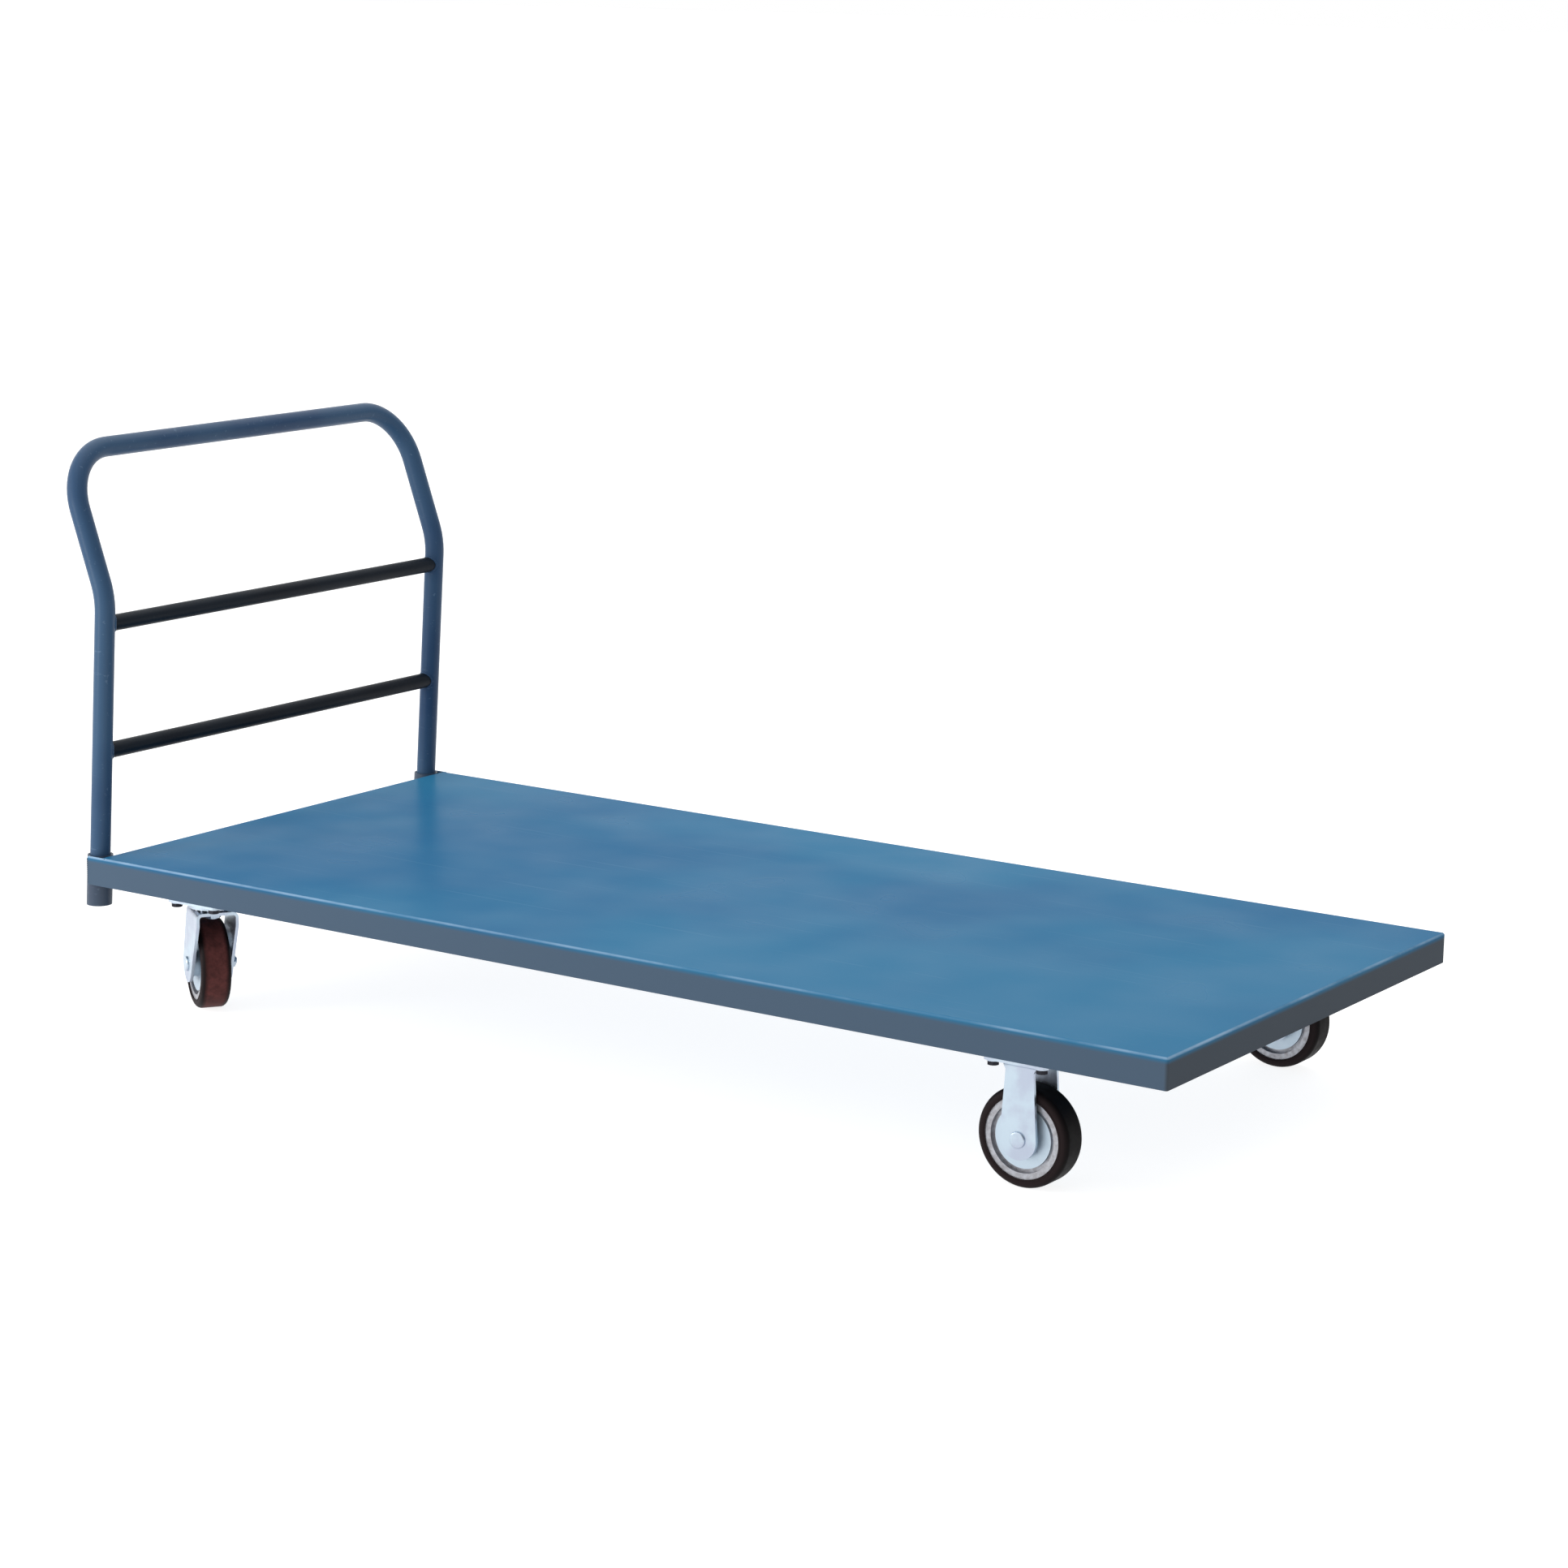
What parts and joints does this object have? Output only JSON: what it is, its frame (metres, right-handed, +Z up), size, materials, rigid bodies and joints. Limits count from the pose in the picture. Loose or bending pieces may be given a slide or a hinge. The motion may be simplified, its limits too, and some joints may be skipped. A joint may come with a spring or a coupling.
{
  "type": "flatbed platform truck",
  "caption": "Flatbed platform truck: long folded-sheet deck, bent pipe push handle with crossbars, rigid casters at the free end and swivel casters at the handle end.",
  "frame": {"origin": "on the floor, under the middle of the whole truck with its handle", "axes": "+X along the deck from the handle end to the free end, +Y to the left of a person pushing, +Z up"},
  "size_m": [2.1018, 0.9, 0.9238],
  "materials": {
    "deck_enamel": "satin blue enamel",
    "frame_enamel": "satin blue enamel",
    "handle_enamel": "satin blue enamel",
    "crossbar_enamel": "dark blue enamel",
    "zinc_plate": "bright zinc plate",
    "black_oxide": "black oxide",
    "wheel_core": "grey cast metal",
    "tyre_rubber": "moulded black rubber",
    "bearing_steel": "ground steel"
  },
  "bodies": {
    "frame": {"deck_sheet": "deck_enamel", "handle_end_angle": "frame_enamel", "front_caster_channel": "frame_enamel", "rear_caster_channel": "frame_enamel", "rear_stiffener": "frame_enamel", "middle_stiffener": "frame_enamel", "front_stiffener": "frame_enamel", "handle_tube": "handle_enamel", "upper_crossbar": "crossbar_enamel", "lower_crossbar": "crossbar_enamel", "left_handle_socket": "frame_enamel", "right_handle_socket": "frame_enamel", "handle_set_screws": "zinc_plate", "handle_socket_nuts": "zinc_plate", "caster_bolts": "black_oxide", "caster_washers": "zinc_plate", "caster_weld_nuts": "black_oxide", "front_left_bracket": "zinc_plate", "front_left_axle_sleeve": "zinc_plate", "front_left_axle_bolt": "zinc_plate", "front_left_axle_nut": "zinc_plate", "front_right_bracket": "zinc_plate", "front_right_axle_sleeve": "zinc_plate", "front_right_axle_bolt": "zinc_plate", "front_right_axle_nut": "zinc_plate", "rear_left_swivel_plate": "zinc_plate", "rear_left_kingpin": "zinc_plate", "rear_left_kingpin_nut": "zinc_plate", "rear_right_swivel_plate": "zinc_plate", "rear_right_kingpin": "zinc_plate", "rear_right_kingpin_nut": "zinc_plate"},
    "rear_left_swivel": {"rear_left_fork": "zinc_plate", "rear_left_swivel_balls": "bearing_steel", "rear_left_axle_sleeve": "zinc_plate", "rear_left_axle_bolt": "zinc_plate", "rear_left_axle_nut": "zinc_plate"},
    "rear_right_swivel": {"rear_right_fork": "zinc_plate", "rear_right_swivel_balls": "bearing_steel", "rear_right_axle_sleeve": "zinc_plate", "rear_right_axle_bolt": "zinc_plate", "rear_right_axle_nut": "zinc_plate"},
    "front_left_wheel": {"front_left_tyre": "tyre_rubber", "front_left_wheel_core": "wheel_core", "front_left_wheel_bearings": "bearing_steel"},
    "front_right_wheel": {"front_right_tyre": "tyre_rubber", "front_right_wheel_core": "wheel_core", "front_right_wheel_bearings": "bearing_steel"},
    "rear_left_wheel": {"rear_left_tyre": "tyre_rubber", "rear_left_wheel_core": "wheel_core", "rear_left_wheel_bearings": "bearing_steel"},
    "rear_right_wheel": {"rear_right_tyre": "tyre_rubber", "rear_right_wheel_core": "wheel_core", "rear_right_wheel_bearings": "bearing_steel"}
  },
  "joints": [
    {"name": "rear_left_swivel_turn", "type": "hinge", "parent": "frame", "child": "rear_left_swivel", "pos_m": [-0.75408, 0.393, 0.177], "axis": [0, 0, 1], "continuous": true},
    {"name": "rear_right_swivel_turn", "type": "hinge", "parent": "frame", "child": "rear_right_swivel", "pos_m": [-0.75408, -0.393, 0.177], "axis": [0, 0, 1], "continuous": true},
    {"name": "front_left_wheel_spin", "type": "hinge", "parent": "frame", "child": "front_left_wheel", "pos_m": [0.80292, 0.394, 0.075], "axis": [0, 1, 0], "continuous": true},
    {"name": "front_right_wheel_spin", "type": "hinge", "parent": "frame", "child": "front_right_wheel", "pos_m": [0.80292, -0.394, 0.075], "axis": [0, 1, 0], "continuous": true},
    {"name": "rear_left_wheel_spin", "type": "hinge", "parent": "rear_left_swivel", "child": "rear_left_wheel", "pos_m": [-0.7201, 0.36831, 0.075], "axis": [0.5878, 0.809, 0], "continuous": true},
    {"name": "rear_right_wheel_spin", "type": "hinge", "parent": "rear_right_swivel", "child": "rear_right_wheel", "pos_m": [-0.78805, -0.36831, 0.075], "axis": [0.5878, 0.809, 0], "continuous": true}
  ]
}
